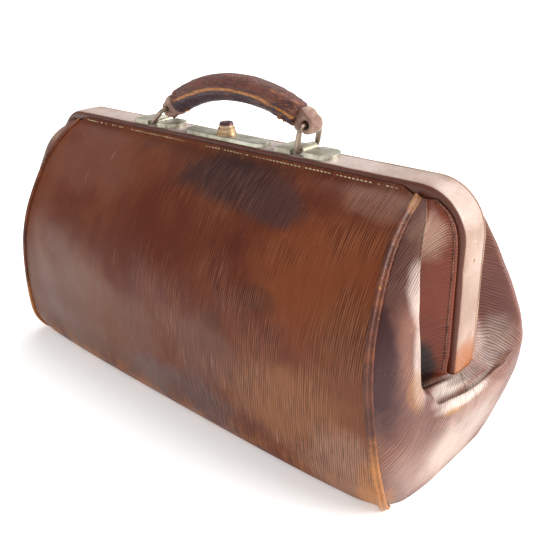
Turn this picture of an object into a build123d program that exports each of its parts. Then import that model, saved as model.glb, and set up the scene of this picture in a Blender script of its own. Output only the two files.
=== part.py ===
from build123d import *
import math
import os

os.makedirs("parts", exist_ok=True)

# --- driving dimensions (mm) ---------------------------------------------
# Origin: middle of the bag's flat base. +X along the bag, -Y front, +Z up.
base_half_length = 217.0
top_half_length = 189.0
frame_top = 217.0
frame_half_length = 225.0
band_half_width = 13.2
corner_radius = 36.0
arm_end = 87.0
flange_depth = 11.0
leather = 2.4
thin_leather = 1.6

# front half of the bag's end-on outline: (half depth, height)
outline = [
    (72.0, 0.0), (76.5, 5.5), (81.0, 16.0), (83.9, 31.0), (85.9, 50.0), (86.5, 69.0),
    (86.1, 90.0), (84.2, 109.0), (79.6, 128.0), (72.6, 146.0), (63.6, 163.5),
    (52.6, 180.0), (41.0, 192.0), (29.0, 201.3), (20.0, 206.4), (15.4, 208.6),
]

# jaws turn on two pins along X, near the lower ends of the frame's arms
pivot_z = 94.0
pin_radius = 2.0
pin_bore = 2.05
lug_radius = 5.5
lug_top = 112.0

# gusset: how far it bulges past the seam, and the saddle under the arm
saddle_z = 86.0
stitch_y = 15.3
stitch_x = 221.0
fold_depth_front = 22.0
fold_depth_back = 31.0

# end stays and the eyes of the two jaws, counted out along X
stay_x = 210.9
back_lug_x = 214.1
front_lug_x = 216.5
lug_foot_reach = 6.5

# hardware on the frame's top
hardware_y = -0.5
lock_x = 4.5
lock_y = -5.0
lock_half_length = 45.0
lock_half_width = 7.7
plate_thickness = 3.5
collar_height = 5.5
button_travel = 3.0
stem_radius = 3.0

plate_length = 51.0
plate_half_width = 11.4
hump_radius = 4.5
hump_half_width = 8.2
pivot_height = 219.5
left_ring_x = -81.0
right_ring_x = 84.0
left_plate_x = -106.0
right_plate_x = 62.0

ring_wire = 1.75
ring_bore = 1.81
ring_reach = 20.0
ring_half_width = 11.7
ring_corner = 3.2
left_lean = 50.0
right_lean = 12.0

handle_span = 153.2
handle_rise = 21.5
handle_radius = 10.6
core_radius = 6.4
loop_radius = 8.5
loop_half_width = 8.2
left_eye_bore = 1.84
right_eye_bore = 3.3


# --- shared shapes -------------------------------------------------------
def seam_x(z):
    return base_half_length + (top_half_length - base_half_length) * z / frame_top


def half_depth(z):
    for (y0, z0), (y1, z1) in zip(outline, outline[1:]):
        if z <= z1:
            return y0 + (y1 - y0) * (z - z0) / (z1 - z0)
    return outline[-1][0]


def inset(points, distance):
    # moves an open run of points to its left-hand side
    moved = []
    for i, (x, y) in enumerate(points):
        ax, ay = points[max(i - 1, 0)]
        bx, by = points[min(i + 1, len(points) - 1)]
        size = math.hypot(bx - ax, by - ay)
        moved.append((x - (by - ay) / size * distance, y + (bx - ax) / size * distance))
    return moved


def strip(points, near, far):
    # closed outline between two insets of the same run of points
    return inset(points, near) + inset(points, far)[::-1]


def add_band(near, far, y_low, y_high, z_end):
    # U-shaped band along the frame, between two depths below its outer face
    shift = frame_half_length - corner_radius
    level = frame_top - corner_radius
    outer = frame_half_length - near
    inner = frame_half_length - far
    with BuildSketch(Plane.XZ.offset(-y_high)) as band:
        with BuildLine():
            Line((-outer, z_end), (-outer, level))
            CenterArc((-shift, level), corner_radius - near, 90, 90)
            Line((-shift, frame_top - near), (shift, frame_top - near))
            CenterArc((shift, level), corner_radius - near, 0, 90)
            Line((outer, level), (outer, z_end))
            Line((outer, z_end), (inner, z_end))
            Line((inner, z_end), (inner, level))
            CenterArc((shift, level), corner_radius - far, 0, 90)
            Line((shift, frame_top - far), (-shift, frame_top - far))
            CenterArc((-shift, level), corner_radius - far, 90, 90)
            Line((-inner, level), (-inner, z_end))
            Line((-inner, z_end), (-outer, z_end))
        make_face()
    extrude(band.sketch, amount=y_high - y_low)


def add_lug(side, x_low, x_high, arm_x, front):
    # hinge lug: an eye round the pin and a foot on the arm's steel strip
    sign = -1 if front else 1
    with BuildSketch(Plane.YZ.offset(side * x_low)) as eye:
        with Locations((0, pivot_z)):
            Circle(lug_radius)
        Polygon(
            (sign * 0.6, pivot_z), (sign * lug_radius, pivot_z), (sign * 11, 104),
            (sign * 11, lug_top), (sign * 0.6, lug_top), align=None)
    extrude(eye.sketch, amount=side * (x_high - x_low))
    with Locations((side * (x_low + arm_x) / 2, sign * 6, (104 + lug_top) / 2)):
        Box(arm_x - x_low, 10, lug_top - 104)
    with Locations(Location((side * (x_low + x_high) / 2, 0, pivot_z), (0, 90, 0))):
        Cylinder(pin_bore, x_high - x_low + 0.2, mode=Mode.SUBTRACT)


# --- base ----------------------------------------------------------------
with BuildPart() as bottom_panel:
    with Locations((0, 0, 1.2)):
        Box(2 * 214.2, 2 * 69.0, 2.4)
    fillet(bottom_panel.edges().filter_by(Axis.Z), radius=4)
bottom_panel.part.label = "bottom_panel"
export_step(bottom_panel.part, "parts/bottom_panel.step")

with BuildPart() as base_board:
    with Locations((0, 0, 4.2)):
        Box(2 * 208.0, 2 * 67.0, 2.8)
    fillet(base_board.edges().filter_by(Axis.Z), radius=6)
base_board.part.label = "base_board"
export_step(base_board.part, "parts/base_board.step")

with BuildPart() as base_lining:
    with Locations((0, 0, 6.4)):
        Box(2 * 207.0, 2 * 67.0, 1.0)
    fillet(base_lining.edges().filter_by(Axis.Z), radius=6)
base_lining.part.label = "base_lining"
export_step(base_lining.part, "parts/base_lining.step")


# --- front and back walls ------------------------------------------------
def add_wall(near, far, run, side, end_gap):
    # a bent sheet the length of the bag, its ends cut to the seam's slope
    points = [(side * y, z) for y, z in run]
    turn = 1 if side > 0 else -1
    with BuildSketch(Plane.YZ.offset(-base_half_length)) as sheet:
        with BuildLine():
            Polyline(*strip(points, turn * near, turn * far), close=True)
        make_face()
    extrude(sheet.sketch, amount=2 * base_half_length)
    low = base_half_length - end_gap
    high = top_half_length - end_gap
    with BuildSketch(Plane.XZ.offset(-150)) as limits:
        Polygon((-low, 0), (low, 0), (high, frame_top), (-high, frame_top), align=None)
    extrude(limits.sketch, amount=300, mode=Mode.INTERSECT)


lining_run = [(y, z) for y, z in outline if 10 < z < 200]

with BuildPart() as front_panel:
    add_wall(0, leather, outline, -1, 2.3)
front_panel.part.label = "front_panel"
export_step(front_panel.part, "parts/front_panel.step")

with BuildPart() as back_panel:
    add_wall(0, leather, outline, 1, 2.3)
back_panel.part.label = "back_panel"
export_step(back_panel.part, "parts/back_panel.step")

with BuildPart() as front_lining:
    add_wall(leather + 0.4, leather + 1.4, lining_run, -1, 7)
front_lining.part.label = "front_lining"
export_step(front_lining.part, "parts/front_lining.step")

with BuildPart() as back_lining:
    add_wall(leather + 0.4, leather + 1.4, lining_run, 1, 7)
back_lining.part.label = "back_lining"
export_step(back_lining.part, "parts/back_lining.step")


# --- gussets: folded end walls -------------------------------------------
def smooth(t):
    t = min(max(t, 0.0), 1.0)
    return t * t * (3 - 2 * t)


def arm_edge_x(z):
    # the leather's stitched edge follows the arm, then the frame's corner
    level = frame_top - corner_radius
    if z <= level:
        return stitch_x
    radius = stitch_x - (frame_half_length - corner_radius)
    return frame_half_length - corner_radius + math.sqrt(radius ** 2 - (z - level) ** 2)


def gusset_run(z, fold_depth):
    # level cut through half of the right gusset, seam first
    seam = (seam_x(z) + 0.8, half_depth(z) - 4.0)
    bulge = fold_depth * smooth(z / 75)
    centre_bulge = fold_depth_front * smooth(z / 75)
    crest_z = max(z, saddle_z)
    narrow = smooth((crest_z - 150) / 60)
    crest = (
        seam_x(min(z, saddle_z)) + bulge - (fold_depth - 10.5) * smooth((z - saddle_z) / 60) - 4 * narrow,
        min(49.0 - 12 * narrow, seam[1] - 4))
    inner_x = seam_x(z) + centre_bulge if z < 62 else arm_edge_x(z)
    if 62 <= z < saddle_z:
        inner_x = seam_x(62) + 21.2 + (stitch_x - seam_x(62) - 21.2) * smooth((z - 62) / 24)
    inner = (inner_x, stitch_y)
    dip = 17.0 * smooth((z - saddle_z) / 26) * (1 - smooth((z - 178) / 32))
    run = []
    for k in range(9):
        if k <= 4:
            t = k / 4
            x = seam[0] + (crest[0] - seam[0]) * math.sin(t * math.pi / 2)
            y = seam[1] + (crest[1] - seam[1]) * t ** 1.3
        else:
            t = (k - 4) / 4
            s = smooth(t)
            x = crest[0] + (inner[0] - crest[0]) * s - dip * math.sin(math.pi * t ** 0.65)
            y = crest[1] + (inner[1] - crest[1]) * t
        run.append((x, -y))
    return run


levels = [
    0.0, 12.0, 26.0, 40.0, 52.0, 62.0, 70.0, 78.0, saddle_z,
    94.0, 104.0, 116.0, 132.0, 150.0, 166.0, 180.0, 192.0, 201.0]
slit_start = levels.index(saddle_z)


def triangle(a, b, c):
    return Face(Wire.make_polygon([a, b, c], close=True))


def quad(a, b, c, d):
    return [triangle(a, b, c), triangle(a, c, d)]


def add_gusset(side, thickness):
    # one sheet from seam to seam, slit down the middle above the saddle
    outer = []
    inner = []
    for z in levels:
        front_run = gusset_run(z, fold_depth_front)
        back_run = gusset_run(z, fold_depth_back)
        run = front_run + [(x, -y) for x, y in back_run[::-1]]
        outer.append([(side * x, y, z) for x, y in run])
        inner.append([(side * x, y, z) for x, y in inset(run, thickness)])
    count = len(outer[0])
    middle = count // 2 - 1
    faces = []
    for i in range(len(levels) - 1):
        for k in range(count - 1):
            if k == middle and i >= slit_start:
                continue
            for grid in (outer, inner):
                faces += quad(grid[i][k], grid[i][k + 1], grid[i + 1][k + 1], grid[i + 1][k])
        ends = [0, count - 1]
        if i >= slit_start:
            ends += [middle, middle + 1]
        for k in ends:
            faces += quad(outer[i][k], inner[i][k], inner[i + 1][k], outer[i + 1][k])
    for k in range(count - 1):
        rows = [0, slit_start] if k == middle else [0, len(levels) - 1]
        for i in rows:
            faces += quad(outer[i][k], outer[i][k + 1], inner[i][k + 1], inner[i][k])
    add(Solid(Shell(faces)))


with BuildPart() as right_gusset:
    add_gusset(1, 2.0)
right_gusset.part.label = "right_gusset"
export_step(right_gusset.part, "parts/right_gusset.step")

with BuildPart() as left_gusset:
    add_gusset(-1, 2.0)
left_gusset.part.label = "left_gusset"
export_step(left_gusset.part, "parts/left_gusset.step")


# --- piped welts along the four seams ------------------------------------
def add_welt(side_x, side_y):
    heights = [3.0, 16.0, 31.0, 50.0, 69.0, 90.0, 109.0, 128.0, 146.0, 163.5, 180.0, 192.0, 200.0]
    points = [(side_x * seam_x(z), side_y * (half_depth(z) - 1.0), z) for z in heights]
    with BuildLine():
        path = Spline(*points)
    with BuildSketch(Plane(path @ 0, z_dir=path % 0)) as cord:
        Circle(1.9)
    sweep(cord.sketch, path=path)


with BuildPart() as welt_front_right:
    add_welt(1, -1)
welt_front_right.part.label = "welt_front_right"
export_step(welt_front_right.part, "parts/welt_front_right.step")

with BuildPart() as welt_front_left:
    add_welt(-1, -1)
welt_front_left.part.label = "welt_front_left"
export_step(welt_front_left.part, "parts/welt_front_left.step")

with BuildPart() as welt_back_right:
    add_welt(1, 1)
welt_back_right.part.label = "welt_back_right"
export_step(welt_back_right.part, "parts/welt_back_right.step")

with BuildPart() as welt_back_left:
    add_welt(-1, 1)
welt_back_left.part.label = "welt_back_left"
export_step(welt_back_left.part, "parts/welt_back_left.step")


# --- end stays and hinge pins --------------------------------------------
def add_stay(side):
    with BuildSketch(Plane.YZ.offset(side * stay_x)) as upright:
        with Locations((0, (7.1 + pivot_z) / 2)):
            Rectangle(16, pivot_z - 7.1)
        with Locations((0, pivot_z)):
            Circle(8)
    extrude(upright.sketch, amount=side * 1.8)
    with Locations((side * (stay_x - 7.5), 0, 8.0)):
        Box(16.8, 16, 1.8)
    with Locations((side * (stay_x + 0.9), 0, 8.0)):
        Box(1.8, 16, 1.8)
    with Locations(Location((side * (stay_x + 0.9), 0, pivot_z), (0, 90, 0))):
        Cylinder(pin_bore, 4, mode=Mode.SUBTRACT)


with BuildPart() as end_stay_right:
    add_stay(1)
end_stay_right.part.label = "end_stay_right"
export_step(end_stay_right.part, "parts/end_stay_right.step")

with BuildPart() as end_stay_left:
    add_stay(-1)
end_stay_left.part.label = "end_stay_left"
export_step(end_stay_left.part, "parts/end_stay_left.step")


def add_pin(side):
    with BuildSketch(Plane.XZ) as shape:
        Polygon(
            (side * (stay_x - 2.6), pivot_z), (side * (stay_x - 2.1), pivot_z + 3.2),
            (side * (stay_x - 0.2), pivot_z + 3.6), (side * (stay_x - 0.2), pivot_z + pin_radius),
            (side * (stay_x + 7.8), pivot_z + pin_radius), (side * (stay_x + 7.8), pivot_z + 3.8),
            (side * (stay_x + 8.8), pivot_z + 3.2), (side * (stay_x + 9.4), pivot_z), align=None)
    revolve(shape.sketch, axis=Axis((0, 0, pivot_z), (1, 0, 0)))


with BuildPart() as hinge_pin_right:
    add_pin(1)
hinge_pin_right.part.label = "hinge_pin_right"
export_step(hinge_pin_right.part, "parts/hinge_pin_right.step")

with BuildPart() as hinge_pin_left:
    add_pin(-1)
hinge_pin_left.part.label = "hinge_pin_left"
export_step(hinge_pin_left.part, "parts/hinge_pin_left.step")

# --- front jaw -----------------------------------------------------------
with BuildPart() as front_jaw_frame:
    add_band(2.0, 5.0, -12.0, -0.4, 104.0)
    add_lug(1, front_lug_x, front_lug_x + 2, front_lug_x + lug_foot_reach, True)
    add_lug(-1, front_lug_x, front_lug_x + 2, front_lug_x + lug_foot_reach, True)
    with Locations((lock_x, lock_y, frame_top)):
        Cylinder(stem_radius + 0.4, 30, mode=Mode.SUBTRACT)
front_jaw_frame.part.label = "front_jaw_frame"
export_step(front_jaw_frame.part, "parts/front_jaw_frame.step")

with BuildPart() as front_frame_cover:
    add_band(0, thin_leather, -band_half_width, 11.6, arm_end)
    add_band(0, flange_depth, -band_half_width, -12.4, arm_end)
    for side in (-1, 1):
        with BuildSketch(Plane.YZ.offset(side * (frame_half_length - 2))) as corner:
            Polygon((8.2, 86), (12, 86), (12, 90.8), (11.7, 90.8), (8.2, arm_end), align=None)
        extrude(corner.sketch, amount=side * 3, mode=Mode.SUBTRACT)
    with Locations((lock_x, lock_y, frame_top)):
        Cylinder(stem_radius + 0.4, 10, mode=Mode.SUBTRACT)
front_frame_cover.part.label = "front_frame_cover"
export_step(front_frame_cover.part, "parts/front_frame_cover.step")

with BuildPart() as cover_tacks:
    for side in (-1, 1):
        with Locations(Location((side * (frame_half_length + 0.3), 0, 168), (0, 90, 0))):
            Cylinder(1.2, 0.6)
cover_tacks.part.label = "cover_tacks"
export_step(cover_tacks.part, "parts/cover_tacks.step")

# --- back jaw ------------------------------------------------------------
with BuildPart() as back_jaw_frame:
    add_band(3.4, 6.4, 0.4, 12.0, 104.0)
    add_lug(1, back_lug_x, back_lug_x + 2, back_lug_x + 7.5, False)
    add_lug(-1, back_lug_x, back_lug_x + 2, back_lug_x + 7.5, False)
back_jaw_frame.part.label = "back_jaw_frame"
export_step(back_jaw_frame.part, "parts/back_jaw_frame.step")

with BuildPart() as back_frame_cover:
    add_band(1.9, 3.1, 0.4, band_half_width, arm_end)
    add_band(0.2, flange_depth, 12.4, band_half_width, arm_end)
back_frame_cover.part.label = "back_frame_cover"
export_step(back_frame_cover.part, "parts/back_frame_cover.step")

with BuildPart() as catch_tongue:
    with Locations((lock_x + 14, 2.25, 202.5)):
        Box(8, 11.5, 4)
    with Locations((lock_x + 14, 4.5, 207.5)):
        Box(8, 7, 6.1)
    fillet(catch_tongue.edges().filter_by(Axis.X), radius=0.6)
catch_tongue.part.label = "catch_tongue"
export_step(catch_tongue.part, "parts/catch_tongue.step")

# --- lock ----------------------------------------------------------------
plate_top = frame_top + plate_thickness

with BuildPart() as lock_plate:
    with BuildSketch(Plane.XY.offset(frame_top)):
        with Locations((lock_x, lock_y)):
            SlotOverall(2 * lock_half_length, 2 * lock_half_width)
    extrude(amount=plate_thickness)
    chamfer(lock_plate.edges().group_by(Axis.Z)[-1], length=0.7)
    with Locations((lock_x, lock_y, frame_top)):
        Cylinder(stem_radius + 0.06, 20, mode=Mode.SUBTRACT)
lock_plate.part.label = "lock_plate"
export_step(lock_plate.part, "parts/lock_plate.step")

with BuildPart() as button_collar:
    with BuildSketch(Plane.XZ.offset(-lock_y)):
        Polygon(
            (lock_x + 6.15, plate_top), (lock_x + 8.2, plate_top), (lock_x + 8.1, plate_top + 0.8),
            (lock_x + 7.4, plate_top + 2.2), (lock_x + 7.0, plate_top + collar_height - 0.4),
            (lock_x + 6.7, plate_top + collar_height), (lock_x + 6.15, plate_top + collar_height),
            align=None)
    revolve(axis=Axis((lock_x, lock_y, 0), (0, 0, 1)))
button_collar.part.label = "button_collar"
export_step(button_collar.part, "parts/button_collar.step")

with BuildPart() as lock_button:
    with BuildSketch(Plane.XZ.offset(-lock_y)):
        Polygon(
            (lock_x, 209), (lock_x + 1.4, 209), (lock_x + stem_radius, 210.6),
            (lock_x + stem_radius, plate_top + 3.7), (lock_x + 6.05, plate_top + 3.7),
            (lock_x + 6.05, plate_top + 6.4), (lock_x + 5.5, plate_top + 9.4),
            (lock_x + 4.9, plate_top + 9.9), (lock_x + 4.2, plate_top + 9.6),
            (lock_x, plate_top + 8.7), align=None)
    revolve(axis=Axis((lock_x, lock_y, 0), (0, 0, 1)))
lock_button.part.label = "lock_button"
export_step(lock_button.part, "parts/lock_button.step")

with BuildPart() as button_spring:
    with BuildLine():
        coil = Helix(pitch=1.3, height=2.6, radius=4.5, center=(lock_x, lock_y, plate_top + 0.5))
    with BuildSketch(Plane(coil @ 0, z_dir=coil % 0)):
        Circle(0.3)
    sweep(path=coil, is_frenet=True)
button_spring.part.label = "button_spring"
export_step(button_spring.part, "parts/button_spring.step")

with BuildPart() as lock_case:
    with Locations((lock_x, -6.2, 204.8)):
        Box(44, 10.4, 13.6)
    with Locations((lock_x, -4.8, 204.8)):
        Box(41.6, 10.8, 11.2, mode=Mode.SUBTRACT)
    with Locations((lock_x, lock_y, 211)):
        Cylinder(stem_radius + 0.3, 6, mode=Mode.SUBTRACT)
lock_case.part.label = "lock_case"
export_step(lock_case.part, "parts/lock_case.step")

with BuildPart() as latch_bolt:
    with Locations((lock_x + 5, -6.25, 202.2)):
        Box(18, 4.5, 4)
    fillet(latch_bolt.edges().filter_by(Axis.Z), radius=1)
latch_bolt.part.label = "latch_bolt"
export_step(latch_bolt.part, "parts/latch_bolt.step")


# --- handle plates -------------------------------------------------------
def add_handle_plate(x_low, ring_x):
    x_high = x_low + plate_length
    with BuildSketch(Plane.XY.offset(frame_top)) as plan:
        with Locations((x_low + 17.5, hardware_y)):
            Rectangle(35, 2 * plate_half_width)
        with Locations((x_high - plate_half_width - 3, hardware_y)):
            Rectangle(12, 2 * plate_half_width)
        with Locations((x_high - plate_half_width, hardware_y)):
            Circle(plate_half_width)
    extrude(plan.sketch, amount=plate_thickness)
    with Locations(Location((ring_x, hardware_y, pivot_height), (90, 0, 0))):
        Cylinder(hump_radius, 2 * hump_half_width)
    split(bisect_by=Plane.XY.offset(frame_top), keep=Keep.TOP)
    for side in (-1, 1):
        with Locations((ring_x, hardware_y + side * (hump_half_width + 5), frame_top + 5)):
            Box(13.4, 10, 14, mode=Mode.SUBTRACT)
    with Locations(Location((ring_x, hardware_y, pivot_height), (90, 0, 0))):
        Cylinder(ring_bore, 40, mode=Mode.SUBTRACT)


with BuildPart() as handle_plate_left:
    add_handle_plate(left_plate_x, left_ring_x)
handle_plate_left.part.label = "handle_plate_left"
export_step(handle_plate_left.part, "parts/handle_plate_left.step")

with BuildPart() as handle_plate_right:
    add_handle_plate(right_plate_x, right_ring_x)
handle_plate_right.part.label = "handle_plate_right"
export_step(handle_plate_right.part, "parts/handle_plate_right.step")


# --- rings ---------------------------------------------------------------
def ring_plane(ring_x, lean):
    slope = math.radians(lean)
    normal = (math.cos(slope), 0, -math.sin(slope))
    return Plane(origin=(ring_x, hardware_y, pivot_height), x_dir=(0, 1, 0), z_dir=normal)


def add_ring(ring_x, lean):
    wide = ring_half_width - ring_corner
    tall = ring_reach - ring_corner
    with BuildLine(ring_plane(ring_x, lean)) as loop:
        Line((0, 0), (wide, 0))
        CenterArc((wide, ring_corner), ring_corner, -90, 90)
        Line((ring_half_width, ring_corner), (ring_half_width, tall))
        CenterArc((wide, tall), ring_corner, 0, 90)
        Line((wide, ring_reach), (-wide, ring_reach))
        CenterArc((-wide, tall), ring_corner, 90, 90)
        Line((-ring_half_width, tall), (-ring_half_width, ring_corner))
        CenterArc((-wide, ring_corner), ring_corner, 180, 90)
        Line((-wide, 0), (0, 0))
    path = loop.wire()
    with BuildSketch(Plane((ring_x, hardware_y, pivot_height), z_dir=(0, 1, 0))) as wire:
        Circle(ring_wire)
    sweep(wire.sketch, path=path)


with BuildPart() as left_ring:
    add_ring(left_ring_x, left_lean)
left_ring.part.label = "left_ring"
export_step(left_ring.part, "parts/left_ring.step")

with BuildPart() as right_ring:
    add_ring(right_ring_x, right_lean)
right_ring.part.label = "right_ring"
export_step(right_ring.part, "parts/right_ring.step")

# --- handle --------------------------------------------------------------
left_eye_x = left_ring_x + ring_reach * math.sin(math.radians(left_lean))
left_eye_z = pivot_height + ring_reach * math.cos(math.radians(left_lean))
right_eye_x = right_ring_x + ring_reach * math.sin(math.radians(right_lean))
right_eye_z = pivot_height + ring_reach * math.cos(math.radians(right_lean))
handle_tilt = math.atan2(right_eye_z - left_eye_z, right_eye_x - left_eye_x)
handle_plane = Plane(
    origin=(left_eye_x, hardware_y, left_eye_z),
    x_dir=(math.cos(handle_tilt), 0, math.sin(handle_tilt)), z_dir=(0, -1, 0))
arch_radius = ((handle_span / 2) ** 2 + handle_rise ** 2) / (2 * handle_rise)
cover_angle = 27.0


def arch_point(angle):
    turn = math.radians(angle)
    return (
        handle_span / 2 + arch_radius * math.sin(turn),
        handle_rise - arch_radius * (1 - math.cos(turn)))


def add_arch(angle, radius, mode=Mode.ADD):
    with BuildLine(handle_plane):
        path = ThreePointArc(arch_point(-angle), arch_point(0), arch_point(angle))
    with BuildSketch(Plane(path @ 0, z_dir=path % 0)) as tube:
        Circle(radius)
    sweep(tube.sketch, path=path, mode=mode)


def add_loop(side, bore):
    angle = side * (cover_angle + 0.1)
    turn = math.radians(angle)
    end_x, end_y = arch_point(angle)
    eye_x = handle_span / 2 + side * handle_span / 2
    across = (math.sin(turn), math.cos(turn))
    with BuildSketch(handle_plane.offset(-loop_half_width)) as end:
        Polygon(
            (end_x + 9 * across[0], end_y + 9 * across[1]),
            (eye_x + loop_radius * across[0], loop_radius * across[1]),
            (eye_x - loop_radius * across[0], -loop_radius * across[1]),
            (end_x - 9 * across[0], end_y - 9 * across[1]), align=None)
        with Locations((eye_x, 0)):
            Circle(loop_radius)
        with Locations((eye_x, 0)):
            Circle(bore, mode=Mode.SUBTRACT)
    extrude(end.sketch, amount=2 * loop_half_width)


with BuildPart() as handle_core:
    add_arch(cover_angle - 0.5, core_radius)
handle_core.part.label = "handle_core"
export_step(handle_core.part, "parts/handle_core.step")

with BuildPart() as handle_cover:
    add_arch(cover_angle, handle_radius)
    add_arch(cover_angle + 1, core_radius + 0.3, mode=Mode.SUBTRACT)
handle_cover.part.label = "handle_cover"
export_step(handle_cover.part, "parts/handle_cover.step")

with BuildPart() as handle_loop_left:
    add_loop(-1, left_eye_bore)
handle_loop_left.part.label = "handle_loop_left"
export_step(handle_loop_left.part, "parts/handle_loop_left.step")

with BuildPart() as handle_loop_right:
    add_loop(1, right_eye_bore)
handle_loop_right.part.label = "handle_loop_right"
export_step(handle_loop_right.part, "parts/handle_loop_right.step")
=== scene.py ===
import bmesh
import bpy
import random
from math import cos, degrees, exp, hypot, pi, radians, sin, sqrt
from mathutils import Matrix, Vector, noise


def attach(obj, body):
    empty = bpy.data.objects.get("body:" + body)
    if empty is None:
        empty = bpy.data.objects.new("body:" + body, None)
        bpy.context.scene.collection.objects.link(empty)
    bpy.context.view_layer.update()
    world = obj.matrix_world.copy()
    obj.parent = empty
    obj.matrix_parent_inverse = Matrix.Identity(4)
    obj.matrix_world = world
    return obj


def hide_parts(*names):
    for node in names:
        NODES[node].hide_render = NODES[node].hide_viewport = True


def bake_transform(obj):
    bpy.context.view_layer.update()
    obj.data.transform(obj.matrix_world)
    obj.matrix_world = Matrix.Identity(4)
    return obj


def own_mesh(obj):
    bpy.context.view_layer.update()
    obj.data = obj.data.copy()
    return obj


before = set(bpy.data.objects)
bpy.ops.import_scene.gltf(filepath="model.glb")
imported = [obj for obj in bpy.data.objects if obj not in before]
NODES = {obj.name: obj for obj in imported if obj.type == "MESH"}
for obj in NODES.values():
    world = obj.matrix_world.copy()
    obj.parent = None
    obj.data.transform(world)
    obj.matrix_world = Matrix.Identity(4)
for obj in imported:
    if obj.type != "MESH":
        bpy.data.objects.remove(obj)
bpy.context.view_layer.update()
MM = 0.001

# --- sizes shared with the model, in millimetres ---
BASE_L, TOP_L, TOP = 217.0, 189.0, 217.0
ARM_X, CORNER, ARM_END = 225.0, 36.0, 87.0
# the seam seen from the end, as (depth, height)
OUTLINE = [
    (72.0, 0.0), (76.5, 5.5), (81.0, 16.0), (83.9, 31.0), (85.9, 50.0), (86.5, 69.0),
    (86.1, 90.0), (84.2, 109.0), (79.6, 128.0), (72.6, 146.0), (63.6, 163.5),
    (52.6, 180.0), (41.0, 192.0), (29.0, 201.3), (20.0, 206.4), (15.5, 209.0)]


def clamp(t):
    return max(0.0, min(1.0, t))


def smooth(t):
    t = clamp(t)
    return t * t * (3 - 2 * t)


def lerp(a, b, t):
    return a + (b - a) * t


def catmull(points, t):
    # point at t (0 to 1) on a smooth curve through all the points
    n = len(points) - 1
    t = clamp(t) * n
    i = min(int(t), n - 1)
    f = t - i
    p1, p2 = points[i], points[i + 1]
    p0 = points[i - 1] if i > 0 else p1 * 2 - p2
    p3 = points[i + 2] if i + 2 <= n else p2 * 2 - p1
    return (p1 * 2 + (p2 - p0) * f + (p0 * 2 - p1 * 5 + p2 * 4 - p3) * f * f
            + (p1 * 3 - p0 - p2 * 3 + p3) * f * f * f) * 0.5


def even_run(points, count, fine=400):
    # count points evenly spaced along the smooth curve
    dense = [catmull(points, i / fine) for i in range(fine + 1)]
    length = [0.0]
    for a, b in zip(dense, dense[1:]):
        length.append(length[-1] + (b - a).length)
    run, j = [], 0
    for k in range(count):
        want = length[-1] * k / (count - 1)
        while j < fine - 1 and length[j + 1] < want:
            j += 1
        f = (want - length[j]) / max(length[j + 1] - length[j], 1e-9)
        run.append(dense[j].lerp(dense[j + 1], clamp(f)))
    return run


def seam_x(z):
    # the seams tuck in a little where they reach the floor
    return BASE_L + (TOP_L - BASE_L) * z / TOP - 6.5 * max(0.0, 1 - z / 28) ** 2


def tuck(z):
    # how far the front and back draw in near the floor, at their ends
    return 3.0 * max(0.0, 1 - z / 26) ** 2


def hill(x, y, z, scale, seed=0.0):
    # gentle unevenness, about -1 to 1, the same on every run
    return noise.noise(Vector((x / scale + seed, y / scale - seed, z / scale + 2 * seed)))


def wall_weight(z):
    # how far a point of the soft walls follows its jaw
    return smooth((z - 10.0) / 192.0)


# --- mesh helpers ---
def recalc(obj):
    # turns every face outwards
    bm = bmesh.new()
    bm.from_mesh(obj.data)
    bmesh.ops.recalc_face_normals(bm, faces=bm.faces)
    bm.to_mesh(obj.data)
    bm.free()


def new_object(name, verts, faces, uvs=None, mats=(), face_mats=None, outward=True):
    mesh = bpy.data.meshes.new(name)
    mesh.from_pydata([v * MM for v in verts], [], faces)
    for m in mats:
        mesh.materials.append(m)
    if face_mats:
        mesh.polygons.foreach_set("material_index", face_mats)
    mesh.polygons.foreach_set("use_smooth", [True] * len(faces))
    if uvs:
        layer = mesh.uv_layers.new(name="UVMap")
        flat_uv = []
        for loop in mesh.loops:
            u, v = uvs[loop.vertex_index]
            flat_uv += [u * MM, v * MM]
        layer.data.foreach_set("uv", flat_uv)
    mesh.update()
    obj = bpy.data.objects.new(name, mesh)
    bpy.context.collection.objects.link(obj)
    if outward:
        recalc(obj)
    return obj


def grid_normals(grid):
    # the sheet's normal at each point of its grid
    rows, cols = len(grid), len(grid[0])
    out = []
    for i in range(rows):
        line = []
        for j in range(cols):
            a = grid[i][min(j + 1, cols - 1)] - grid[i][max(j - 1, 0)]
            b = grid[min(i + 1, rows - 1)][j] - grid[max(i - 1, 0)][j]
            n = a.cross(b)
            line.append(n.normalized() if n.length > 1e-9 else Vector((0, 0, 1)))
        out.append(line)
    return out


def flat(grid):
    # every value of a grid, row after row
    return [x for line in grid for x in line]


# keeps the middle of every sheet's texture well away from zero
UV_SHIFT = 500


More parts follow.
